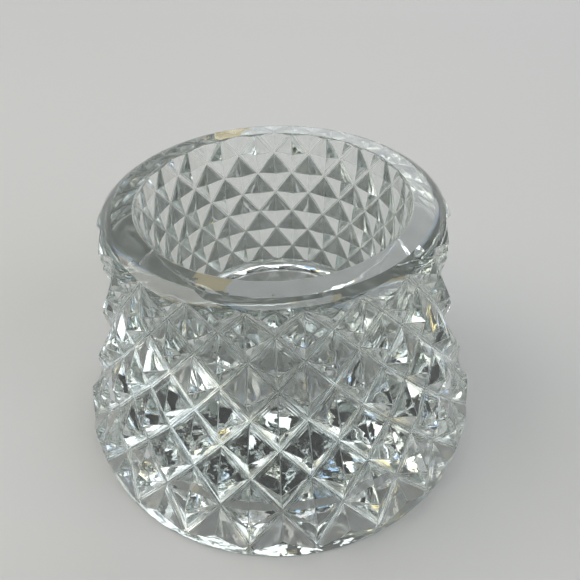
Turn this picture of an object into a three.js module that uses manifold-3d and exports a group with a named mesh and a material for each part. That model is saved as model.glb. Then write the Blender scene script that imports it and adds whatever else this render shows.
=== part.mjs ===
// Cut crystal sugar bowl: a turned glass blank with a lattice of mitre-cut diamonds.
// Millimetres, +Z up, the middle of the underside at the origin.
import * as THREE from "three";
import { mergeVertices } from "three/addons/utils/BufferGeometryUtils.js";
import Module from "manifold-3d";

// Overall sizes
const HEIGHT = 72;
const FOOT_RADIUS = 61;

// Rim: ground flat on top, then rounded over towards the cutting
const RIM_RADIUS = 43.9;
const RIM_WIDTH = 8.7;
const RIM_FLAT_WIDTH = 5.7;
const SHOULDER_RADIUS = 6.5;
const SHOULDER_START_DEG = 12.4;
const MOUTH_EDGE_RADIUS = 0.7;

// Inside: a smooth bowl that narrows towards a flat floor
const INSIDE_DEPTH = 46.2;
const INSIDE_TAPER_DEG = 8;
const FLOOR_CORNER_RADIUS = 4;

// Bell: the line that the floors of the grooves follow, from the rim down to the foot
const FIRST_CROSSING_DROP = 0.2;
const WAIST_RADIUS = 43.3;
const WAIST_DEPTH = 6;
const WAIST_EASE = 13.4;
const LAST_CROSSING_HEIGHT = 3.9;
const LAST_CROSSING_INSET = 0.4;
const FLARE_DEG = 47;
const FLARE_EASE = 7;

// Cutting: two sets of slanting V grooves that cross. The V leans towards the level, so a
// groove's lower side is the shallow one. Rows between the ends sit a little above even steps.
const DIAMONDS_AROUND = 22;
const ROWS = 8;
const ROW_LIFT = 1;
const MITRE_DEG = 120;
const GROOVE_LEAN_DEG = 8;
const GROOVE_FLOOR_WIDTH = 1.1;

// Underside: a flat ring to stand on, round a shallow ground hollow
const FOOT_BEVEL = 0.8;
const RESTING_RING_WIDTH = 16.2;
const HOLLOW_DEPTH = 1.6;

// Blank: how far its outside stands clear of the tips that the cutting leaves
const BLANK_ALLOWANCE = 1.2;

// Fineness of the round surfaces
const SIDES = 6 * DIAMONDS_AROUND;
const ARC_STEPS = 6;
const EDGE_STEPS = 3;
const BELL_STEPS = 240;

// Points nearer to each other than this are one point.
const SAME_POINT = 1e-4;

const { sin, cos, tan, PI } = Math;
const radians = THREE.MathUtils.degToRad;

// The rounded shoulder is an arc that the flat rim cuts a little past its crown.
const shoulderStart = radians(SHOULDER_START_DEG);
const flatOuterRadius = RIM_RADIUS - RIM_WIDTH + RIM_FLAT_WIDTH;
const shoulderCentre = new THREE.Vector2(
  flatOuterRadius - SHOULDER_RADIUS * sin(shoulderStart),
  HEIGHT - SHOULDER_RADIUS * cos(shoulderStart),
);

// A quarter-round point of the shoulder, by its angle away from straight up.
function onShoulder(angle) {
  return new THREE.Vector2(sin(angle), cos(angle)).multiplyScalar(SHOULDER_RADIUS).add(shoulderCentre);
}

// The first crossings sit where the shoulder reaches the rim's full radius.
function firstCrossing() {
  const point = onShoulder(Math.asin((RIM_RADIUS - shoulderCentre.x) / SHOULDER_RADIUS));
  return new THREE.Vector2(RIM_RADIUS, point.y - FIRST_CROSSING_DROP);
}

// The bell in two stretches, in to the waist and out to the foot, as [radius, height] points.
function bellPoints() {
  const top = firstCrossing();
  const waist = new THREE.Vector2(WAIST_RADIUS, HEIGHT - WAIST_DEPTH);
  const foot = new THREE.Vector2(FOOT_RADIUS - LAST_CROSSING_INSET, LAST_CROSSING_HEIGHT);
  const neckBend = new THREE.Vector2(waist.x, (top.y + waist.y) / 2);
  const waistBend = new THREE.Vector2(waist.x, waist.y - WAIST_EASE);
  const flare = radians(FLARE_DEG);
  const footBend = new THREE.Vector2(foot.x - FLARE_EASE * sin(flare), foot.y + FLARE_EASE * cos(flare));
  const bell = new THREE.CurvePath();
  bell.add(new THREE.QuadraticBezierCurve(top, neckBend, waist));
  bell.add(new THREE.CubicBezierCurve(waist, waistBend, footBend, foot));
  return bell.getSpacedPoints(BELL_STEPS);
}

// A groove that keeps one angle to the level crosses the others in even steps of length over
// radius along the bell. "turn" counts those steps from the first crossing.
const bell = bellPoints();
const turns = [0];
for (let i = 1; i < bell.length; i++) {
  const meanRadius = (bell[i].x + bell[i - 1].x) / 2;
  turns.push(turns[i - 1] + bell[i].distanceTo(bell[i - 1]) / meanRadius);
}
const turnPerRow = turns.at(-1) / ROWS;
const grooveAngle = Math.atan((turnPerRow * DIAMONDS_AROUND) / PI);

// The place on the bell at a row, with the outward direction there. Rows above the first
// crossing and below the last one run straight on.
function onBell(row) {
  const fromMiddle = (2 * row) / ROWS - 1;
  const lift = ROW_LIFT * Math.max(0, 1 - fromMiddle ** 4);
  const turn = row * turnPerRow - lift / WAIST_RADIUS;
  let i = 1;
  while (i < turns.length - 1 && turns[i] < turn) i++;
  const share = (turn - turns[i - 1]) / (turns[i] - turns[i - 1]);
  const point = bell[i - 1].clone().lerp(bell[i], share);
  const along = bell[i].clone().sub(bell[i - 1]).normalize();
  return { point, out: new THREE.Vector2(-along.y, along.x) };
}

// A diamond's tip stands where the slopes that rise from the grooves above and below meet: how
// high above the groove floors, and how far down the bell from the middle between them.
const risingSlope = tan(radians(90 - MITRE_DEG / 2 - GROOVE_LEAN_DEG));
const fallingSlope = tan(radians(90 - MITRE_DEG / 2 + GROOVE_LEAN_DEG));

function tipOf(row) {
  const pitch = (2 * PI * onBell(row).point.x) / DIAMONDS_AROUND;
  const across = pitch * sin(grooveAngle) - GROOVE_FLOOR_WIDTH;
  const fromLower = (across * risingSlope) / (risingSlope + fallingSlope);
  return {
    height: fromLower * fallingSlope,
    drop: (across / 2 - fromLower) / cos(grooveAngle),
  };
}

// The lattice runs one row past the first and the last crossings, so that its ends lie outside
// the blank.
const firstRow = -1;
const lastRow = ROWS + 1;
const pitchAngle = (2 * PI) / DIAMONDS_AROUND;

// Crossings of even rows stand half a pitch further round than those of odd rows.
function isShifted(row) {
  return row % 2 === 0;
}

// Points and triangles of a closed skin. A place is [radius, height], and azimuth 0 is -Y.
class Skin {
  positions = [];
  faces = [];

  point(place, azimuth) {
    this.positions.push(place.x * sin(azimuth), -place.x * cos(azimuth), place.y);
    return this.positions.length / 3 - 1;
  }

  face(...corners) {
    this.faces.push(...corners);
  }

  geometry() {
    const geometry = new THREE.BufferGeometry();
    geometry.setAttribute("position", new THREE.Float32BufferAttribute(this.positions, 3));
    geometry.setIndex(this.faces);
    return geometry;
  }
}

// Each crossing has four corners round a small lozenge of groove floor. Returns a way to look a
// crossing up by row and by number round the bowl, where the one after the last is the first.
function addCrossings(skin) {
  const rings = [];
  for (let row = firstRow; row <= lastRow; row++) {
    const place = onBell(row).point;
    const halfRows = GROOVE_FLOOR_WIDTH / 2 / cos(grooveAngle) / (turnPerRow * place.x);
    const halfAzimuth = GROOVE_FLOOR_WIDTH / 2 / sin(grooveAngle) / place.x;
    const ring = [];
    for (let i = 0; i < DIAMONDS_AROUND; i++) {
      const azimuth = (isShifted(row) ? i + 0.5 : i) * pitchAngle;
      ring.push({
        azimuth,
        up: skin.point(onBell(row - halfRows).point, azimuth),
        down: skin.point(onBell(row + halfRows).point, azimuth),
        left: skin.point(place, azimuth - halfAzimuth),
        right: skin.point(place, azimuth + halfAzimuth),
      });
    }
    rings.push(ring);
  }
  return (row, i) => rings[row - firstRow][(i + DIAMONDS_AROUND) % DIAMONDS_AROUND];
}

// Narrow floors run from each crossing to the two crossings of the row below.
function addGrooveFloors(skin, crossing) {
  for (let row = firstRow; row < lastRow; row++) {
    const toRight = isShifted(row) ? 1 : 0;
    for (let i = 0; i < DIAMONDS_AROUND; i++) {
      const here = crossing(row, i);
      const lowerRight = crossing(row + 1, i + toRight);
      const lowerLeft = crossing(row + 1, i + toRight - 1);
      if (row > firstRow) {
        skin.face(here.up, here.left, here.right);
      }
      skin.face(here.left, here.down, here.right);
      skin.face(here.down, lowerRight.left, lowerRight.up);
      skin.face(here.down, lowerRight.up, here.right);
      skin.face(here.down, lowerLeft.up, lowerLeft.right);
      skin.face(here.down, here.left, lowerLeft.up);
    }
  }
}

// A diamond fills the space right of each crossing, between the rows above and below.
function addDiamonds(skin, crossing) {
  for (let row = firstRow + 1; row < lastRow; row++) {
    const toRight = isShifted(row) ? 1 : 0;
    const { height, drop } = tipOf(row);
    const { point, out } = onBell(row + drop / (turnPerRow * onBell(row).point.x));
    const tipPlace = point.clone().addScaledVector(out, height);
    for (let i = 0; i < DIAMONDS_AROUND; i++) {
      const left = crossing(row, i);
      const right = crossing(row, i + 1);
      const above = crossing(row - 1, i + toRight);
      const below = crossing(row + 1, i + toRight);
      const tip = skin.point(tipPlace, left.azimuth + pitchAngle / 2);
      skin.face(left.right, tip, above.down);
      skin.face(left.right, below.up, tip);
      skin.face(below.up, right.left, tip);
      skin.face(tip, right.left, above.down);
    }
  }
}

// Half diamonds at both ends stay flat, inside a lid across the bowl's axis.
function addTopEnd(skin, crossing) {
  const middle = skin.point(new THREE.Vector2(0, onBell(firstRow).point.y), 0);
  const toRight = isShifted(firstRow) ? 1 : 0;
  for (let i = 0; i < DIAMONDS_AROUND; i++) {
    const left = crossing(firstRow, i);
    const right = crossing(firstRow, i + 1);
    const below = crossing(firstRow + 1, i + toRight);
    skin.face(left.right, below.up, right.left);
    skin.face(middle, left.left, left.right);
    skin.face(middle, left.right, right.left);
  }
}

function addBottomEnd(skin, crossing) {
  const middle = skin.point(new THREE.Vector2(0, onBell(lastRow).point.y), 0);
  const toRight = isShifted(lastRow) ? 1 : 0;
  for (let i = 0; i < DIAMONDS_AROUND; i++) {
    const left = crossing(lastRow, i);
    const right = crossing(lastRow, i + 1);
    const above = crossing(lastRow - 1, i + toRight);
    skin.face(left.up, left.left, left.right);
    skin.face(left.right, right.left, above.down);
    skin.face(middle, left.right, left.left);
    skin.face(middle, right.left, left.right);
  }
}

// The cut outside as a solid of its own.
function cuttingGeometry() {
  const skin = new Skin();
  const crossing = addCrossings(skin);
  addGrooveFloors(skin, crossing);
  addDiamonds(skin, crossing);
  addTopEnd(skin, crossing);
  addBottomEnd(skin, crossing);
  return skin.geometry();
}

// An arc of the blank's outline between two angles away from straight up, end points included.
function arc(centre, radius, from, to, steps) {
  const points = [];
  for (let i = 0; i <= steps; i++) {
    const angle = from + ((to - from) * i) / steps;
    points.push(new THREE.Vector2(centre.x + radius * sin(angle), centre.y + radius * cos(angle)));
  }
  return points;
}

// The turned blank, from the middle of the underside out, up, over the rim and down to the
// middle of the floor. Its outside stands clear of the tips, so the cutting decides the wall.
function blankGeometry() {
  const ringOuterRadius = FOOT_RADIUS - FOOT_BEVEL;
  const hollowRadius = ringOuterRadius - RESTING_RING_WIDTH;
  const outline = [
    new THREE.Vector2(0, HOLLOW_DEPTH),
    new THREE.Vector2(hollowRadius - HOLLOW_DEPTH, HOLLOW_DEPTH),
    new THREE.Vector2(hollowRadius, 0),
    new THREE.Vector2(ringOuterRadius, 0),
    new THREE.Vector2(FOOT_RADIUS, FOOT_BEVEL),
  ];
  for (let row = ROWS; row >= 1; row--) {
    const { point, out } = onBell(row);
    const clear = point.clone().addScaledVector(out, tipOf(row).height + BLANK_ALLOWANCE);
    clear.x = Math.min(clear.x, FOOT_RADIUS);
    outline.push(clear);
  }
  outline.push(...arc(shoulderCentre, SHOULDER_RADIUS, PI / 2, shoulderStart, ARC_STEPS));

  const taper = radians(INSIDE_TAPER_DEG);
  const mouthRadius = RIM_RADIUS - RIM_WIDTH;
  const edgeCentre = new THREE.Vector2(mouthRadius + MOUTH_EDGE_RADIUS, HEIGHT - MOUTH_EDGE_RADIUS);
  outline.push(...arc(edgeCentre, MOUTH_EDGE_RADIUS, 0, taper - PI / 2, EDGE_STEPS));
  const floorHeight = HEIGHT - INSIDE_DEPTH;
  const wallFoot = mouthRadius - INSIDE_DEPTH * tan(taper);
  const cornerReach = FLOOR_CORNER_RADIUS * tan(PI / 4 - taper / 2);
  const cornerCentre = new THREE.Vector2(wallFoot - cornerReach, floorHeight + FLOOR_CORNER_RADIUS);
  outline.push(...arc(cornerCentre, FLOOR_CORNER_RADIUS, taper + PI / 2, PI, ARC_STEPS));
  outline.push(new THREE.Vector2(0, floorHeight));
  return new THREE.LatheGeometry(outline, SIDES, PI / SIDES).rotateX(PI / 2);
}

// Joining and cutting need one closed skin with no doubled corners or faces without area.
const wasm = await Module();
wasm.setup();

function solidOf(geometry) {
  geometry.deleteAttribute("normal");
  geometry.deleteAttribute("uv");
  const merged = mergeVertices(geometry, SAME_POINT);
  const corners = merged.index.array;
  const kept = [];
  for (let i = 0; i < corners.length; i += 3) {
    const [a, b, c] = corners.subarray(i, i + 3);
    if (a !== b && b !== c && c !== a) kept.push(a, b, c);
  }
  const skin = new wasm.Mesh({
    numProp: 3,
    vertProperties: new Float32Array(merged.getAttribute("position").array),
    triVerts: new Uint32Array(kept),
  });
  return new wasm.Manifold(skin);
}

function geometryOf(solid) {
  const skin = solid.getMesh();
  const geometry = new THREE.BufferGeometry();
  geometry.setAttribute("position", new THREE.BufferAttribute(skin.vertProperties, 3));
  geometry.setIndex(new THREE.BufferAttribute(skin.triVerts, 1));
  geometry.computeVertexNormals();
  return geometry;
}

const crystal = new THREE.MeshStandardMaterial({ color: 0xdfe5e2, roughness: 0.02, metalness: 0 });

const cutGlass = solidOf(blankGeometry()).intersect(solidOf(cuttingGeometry()));
const bowl = new THREE.Mesh(geometryOf(cutGlass), crystal);
bowl.name = "bowl";

const sugarBowl = new THREE.Group();
sugarBowl.add(bowl);
export default sugarBowl;
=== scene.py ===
"""Cut crystal sugar bowl on a pale studio floor. Metres, +Z up, in the CAD model's frame."""

import math
import random

import bmesh
import bpy
from mathutils import Matrix, Vector
from mathutils.bvhtree import BVHTree
from mathutils.interpolate import poly_3d_calc


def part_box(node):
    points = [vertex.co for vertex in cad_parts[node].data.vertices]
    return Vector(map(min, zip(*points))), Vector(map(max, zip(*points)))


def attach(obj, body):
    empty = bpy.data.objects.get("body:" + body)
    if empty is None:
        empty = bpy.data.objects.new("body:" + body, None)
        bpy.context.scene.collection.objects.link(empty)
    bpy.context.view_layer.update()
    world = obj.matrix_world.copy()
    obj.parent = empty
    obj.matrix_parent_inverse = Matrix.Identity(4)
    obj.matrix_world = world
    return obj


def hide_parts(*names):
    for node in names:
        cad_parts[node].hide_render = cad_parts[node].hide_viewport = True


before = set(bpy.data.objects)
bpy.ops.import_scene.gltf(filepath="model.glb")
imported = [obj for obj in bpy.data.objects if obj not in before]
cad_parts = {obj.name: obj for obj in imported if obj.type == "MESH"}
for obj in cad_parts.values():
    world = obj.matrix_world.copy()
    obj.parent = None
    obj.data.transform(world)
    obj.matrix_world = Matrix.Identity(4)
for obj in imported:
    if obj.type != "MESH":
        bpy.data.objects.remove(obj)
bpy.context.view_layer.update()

MM = 0.001

# Overall sizes. The height is the CAD model's.
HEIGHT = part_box("bowl")[1].z
FOOT_RADIUS = 61 * MM

# Rim: ground flat on top, then rounded over towards the cutting
RIM_RADIUS = 43.9 * MM
RIM_WIDTH = 8.7 * MM
RIM_FLAT_WIDTH = 5.7 * MM
SHOULDER_RADIUS = 6.5 * MM
SHOULDER_START = math.radians(12.4)
MOUTH_EDGE_RADIUS = 0.7 * MM

# Inside
INSIDE_DEPTH = 46.2 * MM
INSIDE_TAPER = math.radians(8)
FLOOR_CORNER_RADIUS = 4 * MM

# Bell: the line that the floors of the grooves follow
FIRST_CROSSING_DROP = 0.2 * MM
WAIST_RADIUS = 43.3 * MM
WAIST_DEPTH = 6 * MM
WAIST_EASE = 13.4 * MM
LAST_CROSSING_HEIGHT = 3.9 * MM
LAST_CROSSING_INSET = 0.4 * MM
FLARE = math.radians(47)
FLARE_EASE = 7 * MM

# Cutting. The rows are equal steps of turn down the bell, and the middle ones sit up to a lift
# higher. Each groove's V is tipped by a lean, which puts the diamonds' tips below their middles.
DIAMONDS_AROUND = 22
ROWS = 8
ROW_LIFT = 1 * MM
MITRE = math.radians(120)
GROOVE_LEAN = math.radians(8)
GROOVE_FLOOR_WIDTH = 1.1 * MM
GROOVE_HOLLOW = 0.1 * MM
RIDGE_WIDTH = 0.22 * MM

# Underside: a shallow hollow inside the ring that the bowl stands on
FOOT_BEVEL = 0.8 * MM
HOLLOW_RADIUS = 44 * MM
HOLLOW_DEPTH = 1.6 * MM

# The cutter's hand: how far crossings and tips stray
CROSSING_STRAY = 0.12 * MM
TIP_STRAY = 0.18 * MM
TIP_HEIGHT_STRAY = 0.04
HAND_SEED = 5

# Crystal: its surface, and how its body takes light away on each metre
CRYSTAL_TINT = 0.985, 0.992, 0.989
CRYSTAL_IOR = 1.6
CRYSTAL_ROUGHNESS = 0.01
BODY_COLOUR = 0.84, 0.865, 0.853
BODY_DENSITY = 24

# What polishing leaves on the facets: slow waves, and finer ripples on them
WAVE_SIZE = 6 * MM
WAVE_DEPTH = 0.12 * MM
POLISH_SIZE = 2.4 * MM
POLISH_DEPTH = 0.02 * MM

# Handling leaves the gloss a little hazy in patches
HAZE_SIZE = 9 * MM
HAZE_RANGE = 0.5, 0.75
HAZE_ROUGHNESS = 0.04

# What the wheel leaves: roughness on a groove's floor, and lines beside it. Wear roughens the
# ridges.
GROOVE_REACH = 4 * MM
GROOVE_WEAR = 0.2
LINE_PITCH = 0.62 * MM
LINE_WEAR = 0.2
LINE_DEPTH = 0.03 * MM
LINES_REACH = 2.2 * MM
RIDGE_WEAR = 0.5

# How far the blank stands clear of the tips before it is cut
BLANK_ALLOWANCE = 1.2 * MM

# Fineness of the turned surfaces
SIDES = 12 * DIAMONDS_AROUND
SHOULDER_STEPS = 20
EDGE_STEPS = 8
CORNER_STEPS = 14
NECK_STEPS = 10
BELL_STEPS = 60

# Edges shorter than this, which the cut can leave, are closed up. Turned faces that meet at less
# than this angle shade as one surface. In the shading a facet outweighs the ridges round it.
SLIVER = 0.002 * MM
SMOOTH_UP_TO = math.radians(11.5)
FACET_WEIGHT = 90

# Material slots while the bowl is cut, and the marks that the cutting leaves for the material:
# 1 along the middle of each groove, which falls to 0 at GROOVE_REACH, and 1 on ridges and tips
TURNED_SLOT, CUT_SLOT, RIDGE_SLOT = 0, 1, 2
GROOVE, RIDGE = "groove", "ridge"

shoulder_centre = Vector((
    RIM_RADIUS - RIM_WIDTH + RIM_FLAT_WIDTH - SHOULDER_RADIUS * math.sin(SHOULDER_START),
    HEIGHT - SHOULDER_RADIUS * math.cos(SHOULDER_START),
))


def arc(centre, radius, start, end, steps):
    """Outline points (radius, height) between two angles away from straight up."""
    points = []
    for i in range(steps + 1):
        angle = start + (end - start) * i / steps
        points.append(centre + radius * Vector((math.sin(angle), math.cos(angle))))
    return points


def first_crossing():
    """Where the groove floors leave the shoulder."""
    reach = RIM_RADIUS - shoulder_centre.x
    height = shoulder_centre.y + math.sqrt(SHOULDER_RADIUS**2 - reach**2)
    return Vector((RIM_RADIUS, height - FIRST_CROSSING_DROP))


def bezier(points, steps):
    """Points along a Bezier curve of any order."""
    line = []
    for i in range(steps + 1):
        t = i / steps
        level = list(points)
        while len(level) > 1:
            level = [a.lerp(b, t) for a, b in zip(level, level[1:])]
        line.append(level[0])
    return line


def bell_points():
    """The bell's line, a short neck and then the flare down to the lowest crossing."""
    top = first_crossing()
    waist = Vector((WAIST_RADIUS, HEIGHT - WAIST_DEPTH))
    foot = Vector((FOOT_RADIUS - LAST_CROSSING_INSET, LAST_CROSSING_HEIGHT))
    neck = bezier([top, Vector((waist.x, (top.y + waist.y) / 2)), waist], NECK_STEPS)
    bends = [
        waist,
        waist - Vector((0, WAIST_EASE)),
        foot + FLARE_EASE * Vector((-math.sin(FLARE), math.cos(FLARE))),
        foot,
    ]
    return neck[:-1] + bezier(bends, BELL_STEPS)


bell = bell_points()
turns = [0.0]
for before, after in zip(bell, bell[1:]):
    turns.append(turns[-1] + (after - before).length / ((after.x + before.x) / 2))
turn_per_row = turns[-1] / ROWS
groove_angle = math.atan(turn_per_row * DIAMONDS_AROUND / math.pi)
pitch_angle = 2 * math.pi / DIAMONDS_AROUND


def on_bell(row):
    """The point (radius, height) of the bell at a row, and the outward direction there."""
    from_middle = 2 * row / ROWS - 1
    lift = ROW_LIFT * max(0, 1 - from_middle**4)
    turn = row * turn_per_row - lift / WAIST_RADIUS
    i = 1
    while i < len(turns) - 1 and turns[i] < turn:
        i += 1
    share = (turn - turns[i - 1]) / (turns[i] - turns[i - 1])
    along = (bell[i] - bell[i - 1]).normalized()
    return bell[i - 1] + (bell[i] - bell[i - 1]) * share, Vector((-along.y, along.x))


def tip_of(row):
    """How high a tip stands above the groove floors, and how far down the bell from the middle
    between the grooves."""
    rising = math.tan(math.pi / 2 - MITRE / 2 - GROOVE_LEAN)
    falling = math.tan(math.pi / 2 - MITRE / 2 + GROOVE_LEAN)
    pitch = pitch_angle * on_bell(row)[0].x
    across = pitch * math.sin(groove_angle) - GROOVE_FLOOR_WIDTH
    from_lower = across * rising / (rising + falling)
    return from_lower * falling, (across / 2 - from_lower) / math.cos(groove_angle)


def turned(place, azimuth):
    """A point (radius, height) turned to an azimuth, which is 0 towards -Y."""
    return Vector((place.x * math.sin(azimuth), -place.x * math.cos(azimuth), place.y))


def nearness(distance):
    """The mark of a place at a distance from the middle of its groove."""
    return 1 - distance / GROOVE_REACH


class Crossing:
    """Where two grooves cross: a middle and four corners round a small lozenge of floor."""

    def __init__(self, mesh, row, azimuth, hand):
        radius = on_bell(row)[0].x
        azimuth += hand.uniform(-1, 1) * CROSSING_STRAY / radius
        row += hand.uniform(-1, 1) * CROSSING_STRAY / (turn_per_row * radius)
        half_rows = GROOVE_FLOOR_WIDTH / 2 / math.cos(groove_angle) / (turn_per_row * radius)
        half_azimuth = GROOVE_FLOOR_WIDTH / 2 / math.sin(groove_angle) / radius
        place, out = on_bell(row)
        self.middle = mesh.verts.new(turned(place - out * GROOVE_HOLLOW, azimuth))
        mark = mesh.verts.layers.float[GROOVE]
        self.middle[mark] = nearness(0)
        self.up = mesh.verts.new(turned(on_bell(row - half_rows)[0], azimuth))
        self.down = mesh.verts.new(turned(on_bell(row + half_rows)[0], azimuth))
        self.left = mesh.verts.new(turned(place, azimuth - half_azimuth))
        self.right = mesh.verts.new(turned(place, azimuth + half_azimuth))
        for corner in (self.up, self.down, self.left, self.right):
            corner[mark] = nearness(GROOVE_FLOOR_WIDTH / 2)


def inset(a, b, tip, width):
    """The corners of a facet drawn back from its two ridges by a width."""
    to_b = (b - a).normalized()
    to_a_tip = (tip - a).normalized()
    to_b_tip = (tip - b).normalized()
    near_a = a + to_b * width / to_b.cross(to_a_tip).length
    near_b = b - to_b * width / to_b.cross(to_b_tip).length
    near_tip = tip - (to_a_tip + to_b_tip) * width / to_a_tip.cross(to_b_tip).length
    return near_a, near_b, near_tip


def diamond(mesh, corners, tip):
    """Four facets, a narrow blunt ridge between each two, and a blunted tip. Returns the
    vertices that each facet leaves on its side of the groove."""
    mark = mesh.verts.layers.float[GROOVE]
    on_edges = []
    near_tips = []
    for i in range(4):
        a, b = corners[i], corners[(i + 1) % 4]
        places = inset(a.co, b.co, tip, RIDGE_WIDTH / 2)
        near_a, near_b, near_tip = [mesh.verts.new(p) for p in places]
        slant = (b.co - a.co).cross(tip - a.co).length / (b.co - a.co).length
        near_a[mark] = near_b[mark] = nearness(GROOVE_FLOOR_WIDTH / 2)
        near_tip[mark] = nearness(GROOVE_FLOOR_WIDTH / 2 + slant)
        mesh.faces.new((near_a, near_b, near_tip))
        on_edges.append((near_a, near_b))
        near_tips.append(near_tip)
    for i in range(4):
        before, after = on_edges[i - 1][1], on_edges[i][0]
        ridge = mesh.faces.new((before, after, near_tips[i], near_tips[i - 1]))
        ridge.material_index = RIDGE_SLOT
        mesh.faces.new((corners[i], after, before))
    mesh.faces.new(near_tips).material_index = RIDGE_SLOT
    return on_edges


def cutting_mesh():
    """The cut outside as a solid of its own, which runs past the blank at both ends."""
    mesh = bmesh.new()
    mesh.verts.layers.float.new(GROOVE)
    hand = random.Random(HAND_SEED)
    first_row, last_row = -1, ROWS + 1
    crossings = {}
    for row in range(first_row, last_row + 1):
        for i in range(DIAMONDS_AROUND):
            azimuth = (i + (0.5 if row % 2 == 0 else 0)) * pitch_angle
            crossings[row, i] = Crossing(mesh, row, azimuth, hand)

    def crossing(row, i):
        return crossings[row, i % DIAMONDS_AROUND]

    # The facets' vertices along each side of each groove, by the diamond's row, place and facet
    sides = {}
    for row in range(first_row + 1, last_row):
        to_right = 1 if row % 2 == 0 else 0
        tip_height, drop = tip_of(row)
        place, out = on_bell(row + drop / (turn_per_row * on_bell(row)[0].x))
        for i in range(DIAMONDS_AROUND):
            corners = [
                crossing(row, i).right,
                crossing(row - 1, i + to_right).down,
                crossing(row, i + 1).left,
                crossing(row + 1, i + to_right).up,
            ]
            height = tip_height * (1 + hand.uniform(-1, 1) * TIP_HEIGHT_STRAY)
            azimuth = (i + (1 if row % 2 == 0 else 0.5)) * pitch_angle
            azimuth += hand.uniform(-1, 1) * TIP_STRAY / place.x
            rise = Vector((0, hand.uniform(-1, 1) * TIP_STRAY))
            tip = turned(place + rise + out * height, azimuth)
            for facet, ends in enumerate(diamond(mesh, corners, tip)):
                sides[row, i, facet] = ends

    def side(row, i, facet):
        return sides.get((row, i % DIAMONDS_AROUND, facet), ())

    for row in range(first_row, last_row):
        to_right = 1 if row % 2 == 0 else 0
        for i in range(DIAMONDS_AROUND):
            here = crossing(row, i)
            right = crossing(row + 1, i + to_right)
            left = crossing(row + 1, i + to_right - 1)
            below = i + to_right - 1
            over_right, over_left = side(row, i, 3), side(row, i - 1, 2)
            under_right, under_left = side(row + 1, below, 1), side(row + 1, below, 0)
            mesh.faces.new((here.middle, right.middle, right.up, *over_right, here.right))
            mesh.faces.new((here.middle, here.down, *under_right, right.left, right.middle))
            mesh.faces.new((here.middle, here.left, *over_left, left.up, left.middle))
            mesh.faces.new((here.middle, left.middle, left.right, *under_left, here.down))

    # Close the open ends with flat lids.
    for row, step in ((first_row, 1), (last_row, -1)):
        to_right = 1 if row % 2 == 0 else 0
        lid = mesh.verts.new((0, 0, on_bell(row)[0].y))
        for i in range(DIAMONDS_AROUND):
            here, after = crossing(row, i), crossing(row, i + 1)
            beyond = crossing(row + step, i + to_right)
            mesh.faces.new((here.right, after.left, beyond.up if step > 0 else beyond.down))
            mesh.faces.new((lid, here.left, here.middle))
            mesh.faces.new((lid, here.middle, here.right))
            mesh.faces.new((lid, here.right, after.left))
    bmesh.ops.delete(mesh, geom=[v for v in mesh.verts if not v.link_faces], context="VERTS")
    bmesh.ops.recalc_face_normals(mesh, faces=mesh.faces)
    for face in mesh.faces:
        face.material_index = face.material_index or CUT_SLOT
    return mesh


def blank_outline():
    """The turned blank, from the middle of the underside out, up, over and down inside."""
    outline = [
        Vector((0, HOLLOW_DEPTH)),
        Vector((HOLLOW_RADIUS - HOLLOW_DEPTH, HOLLOW_DEPTH)),
        Vector((HOLLOW_RADIUS, 0)),
        Vector((FOOT_RADIUS - FOOT_BEVEL, 0)),
        Vector((FOOT_RADIUS, FOOT_BEVEL)),
    ]
    for row in range(ROWS, 0, -1):
        place, out = on_bell(row)
        clear = place + out * (tip_of(row)[0] + BLANK_ALLOWANCE)
        outline.append(Vector((min(clear.x, FOOT_RADIUS), clear.y)))
    outline += arc(shoulder_centre, SHOULDER_RADIUS, math.pi / 2, SHOULDER_START, SHOULDER_STEPS)
    mouth = RIM_RADIUS - RIM_WIDTH
    edge_centre = Vector((mouth + MOUTH_EDGE_RADIUS, HEIGHT - MOUTH_EDGE_RADIUS))
    outline += arc(edge_centre, MOUTH_EDGE_RADIUS, 0, INSIDE_TAPER - math.pi / 2, EDGE_STEPS)
    wall_foot = mouth - INSIDE_DEPTH * math.tan(INSIDE_TAPER)
    reach = FLOOR_CORNER_RADIUS * math.tan(math.pi / 4 - INSIDE_TAPER / 2)
    corner_centre = Vector((wall_foot - reach, HEIGHT - INSIDE_DEPTH + FLOOR_CORNER_RADIUS))
    wall_side = INSIDE_TAPER + math.pi / 2
    outline += arc(corner_centre, FLOOR_CORNER_RADIUS, wall_side, math.pi, CORNER_STEPS)
    outline.append(Vector((0, HEIGHT - INSIDE_DEPTH)))
    return outline


def lathe_mesh(outline, sides):
    """A closed solid of revolution from an outline that starts and ends on the axis."""
    mesh = bmesh.new()
    start = mesh.verts.new((0, 0, outline[0].y))
    end = mesh.verts.new((0, 0, outline[-1].y))
    rings = []
    for place in outline[1:-1]:
        azimuths = [2 * math.pi * (i + 0.5) / sides for i in range(sides)]
        rings.append([mesh.verts.new(turned(place, azimuth)) for azimuth in azimuths])
    for i in range(sides):
        after = (i + 1) % sides
        mesh.faces.new((start, rings[0][i], rings[0][after]))
        mesh.faces.new((end, rings[-1][i], rings[-1][after]))
        for low, high in zip(rings, rings[1:]):
            mesh.faces.new((low[i], low[after], high[after], high[i]))
    bmesh.ops.recalc_face_normals(mesh, faces=mesh.faces)
    return mesh


def new_object(name, mesh):
    data = bpy.data.meshes.new(name)
    mesh.to_mesh(data)
    mesh.free()
    made = bpy.data.objects.new(name, data)
    bpy.context.scene.collection.objects.link(made)
    return made


def applied(obj):
    """Replaces an object's mesh by what its modifiers make of it."""
    depsgraph = bpy.context.evaluated_depsgraph_get()
    data = bpy.data.meshes.new_from_object(obj.evaluated_get(depsgraph))
    obj.modifiers.clear()
    obj.data = data


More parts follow.
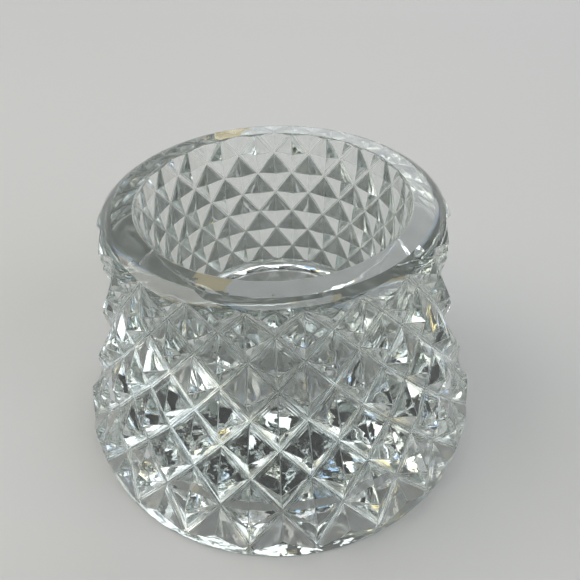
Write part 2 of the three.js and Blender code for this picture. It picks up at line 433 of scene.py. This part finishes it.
def cut_bowl(crystal):
    """The blank cut to what it shares with the cutting solid, in one material."""
    bowl = new_object("bowl_crystal", lathe_mesh(blank_outline(), SIDES))
    cutting = new_object("cutting", cutting_mesh())
    for solid in (bowl, cutting):
        for slot in (TURNED_SLOT, CUT_SLOT, RIDGE_SLOT):
            solid.data.materials.append(crystal)
    cut = bowl.modifiers.new("cut", "BOOLEAN")
    cut.operation = "INTERSECT"
    cut.solver = "EXACT"
    cut.object = cutting
    applied(bowl)
    finish_mesh(bowl.data, cutting.data)
    bpy.data.objects.remove(cutting)
    while len(bowl.data.materials) > 1:
        bowl.data.materials.pop()
    crisp = bowl.modifiers.new("crisp facets", "WEIGHTED_NORMAL")
    crisp.mode = "FACE_AREA"
    crisp.weight = FACET_WEIGHT
    crisp.keep_sharp = True
    applied(bowl)
    return bowl


def groove_marks(cutting):
    """A function that gives the groove mark at a place on the cutting."""
    places = [vertex.co.copy() for vertex in cutting.vertices]
    faces = [tuple(face.vertices) for face in cutting.polygons]
    marks = [entry.value for entry in cutting.attributes[GROOVE].data]
    tree = BVHTree.FromPolygons(places, faces)

    def mark_at(place):
        on_face, _, face, _ = tree.find_nearest(place)
        shares = poly_3d_calc([places[i] for i in faces[face]], on_face)
        return sum(share * marks[i] for share, i in zip(shares, faces[face]))

    return mark_at


def finish_mesh(data, cutting):
    """Facets meet in narrow round ridges. Turned surfaces meet the cutting and each other sharply.
    Afterwards all faces are in the first slot, and grooves and ridges are marked."""
    mark_at = groove_marks(cutting)
    mesh = bmesh.new()
    mesh.from_mesh(data)
    mesh.verts.layers.float.remove(mesh.verts.layers.float[GROOVE])
    ridge = mesh.faces.layers.float.new(RIDGE)
    groove = mesh.loops.layers.float.new(GROOVE)
    bmesh.ops.dissolve_degenerate(mesh, dist=SLIVER, edges=mesh.edges)
    for edge in mesh.edges:
        kinds = {face.material_index for face in edge.link_faces}
        turned_crease = kinds == {TURNED_SLOT} and edge.calc_face_angle(0) > SMOOTH_UP_TO
        run_out = TURNED_SLOT in kinds and len(kinds) > 1
        edge.smooth = not (run_out or turned_crease)
    for face in mesh.faces:
        face.smooth = True
        face[ridge] = 1 if face.material_index == RIDGE_SLOT else 0
        if face.material_index == CUT_SLOT:
            for corner in face.loops:
                corner[groove] = mark_at(corner.vert.co)
        face.material_index = TURNED_SLOT
    mesh.to_mesh(data)
    mesh.free()


def noise(nodes, links, place, size, detail):
    """Soft noise whose lumps are about a size across."""
    texture = nodes.new("ShaderNodeTexNoise")
    texture.inputs["Scale"].default_value = 1 / size
    texture.inputs["Detail"].default_value = detail
    links.new(place, texture.inputs["Vector"])
    return texture.outputs["Fac"]


def bump(nodes, links, height, depth, normal=None):
    """Heights of 0 to 1 times a depth, on top of another bump where one is given."""
    node = nodes.new("ShaderNodeBump")
    node.inputs["Distance"].default_value = depth
    links.new(height, node.inputs["Height"])
    if normal:
        links.new(normal, node.inputs["Normal"])
    return node.outputs["Normal"]


def maths(nodes, links, operation, *values):
    """A Math node on sockets and numbers."""
    node = nodes.new("ShaderNodeMath")
    node.operation = operation
    for value, socket in zip(values, node.inputs):
        if isinstance(value, (int, float)):
            socket.default_value = value
        else:
            links.new(value, socket)
    return node.outputs[0]


def ramp(nodes, links, value, span, results):
    """A value drawn smoothly from one span onto another."""
    node = nodes.new("ShaderNodeMapRange")
    node.interpolation_type = "SMOOTHSTEP"
    node.inputs["From Min"].default_value, node.inputs["From Max"].default_value = span
    node.inputs["To Min"].default_value, node.inputs["To Max"].default_value = results
    links.new(value, node.inputs["Value"])
    return node.outputs["Result"]


def attribute(nodes, name):
    """One of the marks that the cutting left on the mesh."""
    node = nodes.new("ShaderNodeAttribute")
    node.attribute_name = name
    return node.outputs["Fac"]


def from_groove(nodes, links):
    """Distance from the middle of the nearest groove."""
    near = attribute(nodes, GROOVE)
    return maths(nodes, links, "MULTIPLY_ADD", near, -GROOVE_REACH, GROOVE_REACH)


def wheel_lines(nodes, links, distance):
    """Lines along both sides of a groove, which fade out with the distance from it."""
    turn = maths(nodes, links, "MULTIPLY", distance, 2 * math.pi / LINE_PITCH)
    wave = maths(nodes, links, "MULTIPLY_ADD", maths(nodes, links, "COSINE", turn), 0.5, 0.5)
    fade = ramp(nodes, links, distance, (GROOVE_FLOOR_WIDTH / 2, LINES_REACH), (1, 0))
    return maths(nodes, links, "MULTIPLY", wave, fade)


def crystal_material():
    """Clear glass with polished facets, wheel lines, ground groove floors and worn ridges."""
    material = bpy.data.materials.new("crystal")
    material.use_nodes = True
    nodes, links = material.node_tree.nodes, material.node_tree.links
    shader = nodes["Principled BSDF"]
    shader.inputs["Base Color"].default_value = (*CRYSTAL_TINT, 1)
    shader.inputs["Roughness"].default_value = CRYSTAL_ROUGHNESS
    shader.inputs["IOR"].default_value = CRYSTAL_IOR
    shader.inputs["Transmission Weight"].default_value = 1
    place = nodes.new("ShaderNodeTexCoord").outputs["Object"]
    distance = from_groove(nodes, links)
    lines = wheel_lines(nodes, links, distance)

    waves = bump(nodes, links, noise(nodes, links, place, WAVE_SIZE, detail=0), WAVE_DEPTH)
    polish = noise(nodes, links, place, POLISH_SIZE, detail=1)
    ripples = bump(nodes, links, polish, POLISH_DEPTH, waves)
    links.new(bump(nodes, links, lines, LINE_DEPTH, ripples), shader.inputs["Normal"])

    patches = noise(nodes, links, place, HAZE_SIZE, detail=2)
    haze = ramp(nodes, links, patches, HAZE_RANGE, (CRYSTAL_ROUGHNESS, HAZE_ROUGHNESS))
    worn = maths(nodes, links, "MULTIPLY_ADD", attribute(nodes, RIDGE), RIDGE_WEAR, haze)
    lined = maths(nodes, links, "MULTIPLY_ADD", lines, LINE_WEAR, worn)
    ground = ramp(nodes, links, distance, (GROOVE_FLOOR_WIDTH / 2, 0), (0, GROOVE_WEAR))
    links.new(maths(nodes, links, "ADD", ground, lined), shader.inputs["Roughness"])

    body = nodes.new("ShaderNodeVolumeAbsorption")
    body.inputs["Color"].default_value = (*BODY_COLOUR, 1)
    body.inputs["Density"].default_value = BODY_DENSITY
    links.new(body.outputs[0], nodes["Material Output"].inputs["Volume"])
    return material


# Softboxes: name, place, width and height in metres, brightness, where 1 is white, and colour
SOFTBOXES = [
    ("key", (-0.85, 0.1, 1.0), (1.1, 0.86), 3.1, (1, 0.97, 0.91)),
    ("back", (0.35, 1.1, 0.8), (1.0, 0.6), 2.35, (0.94, 0.97, 1)),
    ("right", (1.05, -0.5, 0.8), (0.8, 0.9), 2.5, (0.88, 0.94, 1)),
    ("top", (0.05, -0.25, 1.2), (0.7, 0.5), 2.5, (0.96, 1, 1)),
]

# The crystal spreads white light into colours, which a warm strip along one side of each lamp and a
# cool one along the other stand for. Together they are about white.
EDGE_WIDTH = 0.1
EDGE_STRENGTH = 2.1
WARM_EDGE = 1, 0.8, 0.36
COOL_EDGE = 0.46, 0.66, 1

# The world, by how steeply a direction rises: a pale backdrop all round in about the floor's tone,
# and a dim ceiling. The far floor fades into the backdrop.
BACKDROP = 0.6
BACKDROP_TOP = 0.3
CEILING = 0.045
CEILING_START = 0.66

# Floor. It fades into the backdrop between two distances from the bowl. The bowl's ring touches it
# at a few points only, so air lies under the rest of the ring.
FLOOR_HALF_WIDTH = 3
FLOOR_COLOUR = 0.56, 0.56, 0.552
FLOOR_ROUGHNESS = 0.7
FLOOR_FADE = 0.3, 0.95
FLOOR_GAP = 0.1 * MM


def panel(name, place, offset, size, brightness, colour):
    """A flat lamp that faces the bowl from a place, or beside that place by an offset."""
    light = bpy.data.lights.new(name, "AREA")
    light.shape = "RECTANGLE"
    light.size, light.size_y = size
    light.energy = brightness * math.pi * light.size * light.size_y
    light.color = colour
    lamp = bpy.data.objects.new(name, light)
    bpy.context.scene.collection.objects.link(lamp)
    facing = (-place).to_track_quat("-Z", "Y")
    lamp.location = place + facing @ Vector((offset, 0, 0))
    lamp.rotation_euler = facing.to_euler()


def softbox(name, place, size, brightness, colour):
    """A lamp that faces the bowl, with a warm and a cool edge."""
    panel(name, place, 0, size, brightness, colour)
    offset = (size[0] + EDGE_WIDTH) / 2
    strip = EDGE_WIDTH, size[1]
    panel(name + "_warm_edge", place, offset, strip, EDGE_STRENGTH, WARM_EDGE)
    panel(name + "_cool_edge", place, -offset, strip, EDGE_STRENGTH, COOL_EDGE)


def floor():
    mesh = bmesh.new()
    bmesh.ops.create_grid(mesh, x_segments=2, y_segments=2, size=FLOOR_HALF_WIDTH)
    plane = new_object("floor", mesh)
    plane.location.z = -FLOOR_GAP
    paint = bpy.data.materials.new("floor_paint")
    paint.use_nodes = True
    nodes, links = paint.node_tree.nodes, paint.node_tree.links
    shader = nodes["Principled BSDF"]
    shader.inputs["Base Color"].default_value = (*FLOOR_COLOUR, 1)
    shader.inputs["Roughness"].default_value = FLOOR_ROUGHNESS
    distance = nodes.new("ShaderNodeVectorMath")
    distance.operation = "LENGTH"
    links.new(nodes.new("ShaderNodeTexCoord").outputs["Object"], distance.inputs[0])
    fade = ramp(nodes, links, distance.outputs["Value"], FLOOR_FADE, (1, 0))
    links.new(fade, shader.inputs["Alpha"])
    plane.data.materials.append(paint)


def surroundings():
    world = bpy.data.worlds.new("studio")
    bpy.context.scene.world = world
    world.use_nodes = True
    nodes, links = world.node_tree.nodes, world.node_tree.links
    parts = nodes.new("ShaderNodeSeparateXYZ")
    links.new(nodes.new("ShaderNodeTexCoord").outputs["Generated"], parts.inputs[0])
    sky = nodes.new("ShaderNodeValToRGB")
    links.new(parts.outputs["Z"], sky.inputs[0])
    links.new(sky.outputs[0], nodes["Background"].inputs["Color"])
    pale, dim = sky.color_ramp.elements
    pale.position, pale.color = BACKDROP_TOP, (BACKDROP, BACKDROP, BACKDROP, 1)
    dim.position, dim.color = CEILING_START, (CEILING, CEILING, CEILING, 1)


# Camera, from a fit to the picture's rim, foot and groove crossings: place and turn from the rim's
# centre, the point it looks at, and its lens in millimetres
CAMERA_AZIMUTH = math.radians(1.1)
CAMERA_ELEVATION = math.radians(30.53)
CAMERA_DISTANCE = 143.7 * MM
CAMERA_AIM = Vector((3.8, 0, 38.9)) * MM
CAMERA_ROLL = math.radians(-1.27)
CAMERA_LENS = 33.99
CAMERA_SENSOR = 36
CAMERA_NEAR_LIMIT = 5 * MM

LIGHT_BOUNCES = 32


def camera():
    rim_centre = Vector((0, 0, HEIGHT))
    level = math.cos(CAMERA_ELEVATION)
    way = Vector((
        level * math.sin(CAMERA_AZIMUTH),
        -level * math.cos(CAMERA_AZIMUTH),
        math.sin(CAMERA_ELEVATION),
    ))
    data = bpy.data.cameras.new("camera")
    data.lens = CAMERA_LENS
    data.sensor_width = CAMERA_SENSOR
    data.clip_start = CAMERA_NEAR_LIMIT
    viewer = bpy.data.objects.new("camera", data)
    bpy.context.scene.collection.objects.link(viewer)
    place = rim_centre + CAMERA_DISTANCE * way
    aim = (CAMERA_AIM - place).to_track_quat("-Z", "Y").to_matrix().to_4x4()
    viewer.matrix_world = Matrix.Translation(place) @ aim @ Matrix.Rotation(CAMERA_ROLL, 4, "Z")
    bpy.context.scene.camera = viewer


scene = bpy.context.scene
scene.view_settings.view_transform = "Standard"
scene.cycles.max_bounces = LIGHT_BOUNCES
scene.cycles.transmission_bounces = LIGHT_BOUNCES
scene.cycles.glossy_bounces = LIGHT_BOUNCES

camera()
floor()
surroundings()
for name, place, size, brightness, colour in SOFTBOXES:
    softbox(name, Vector(place), size, brightness, colour)
bowl = cut_bowl(crystal_material())
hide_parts("bowl")
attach(bowl, "root")
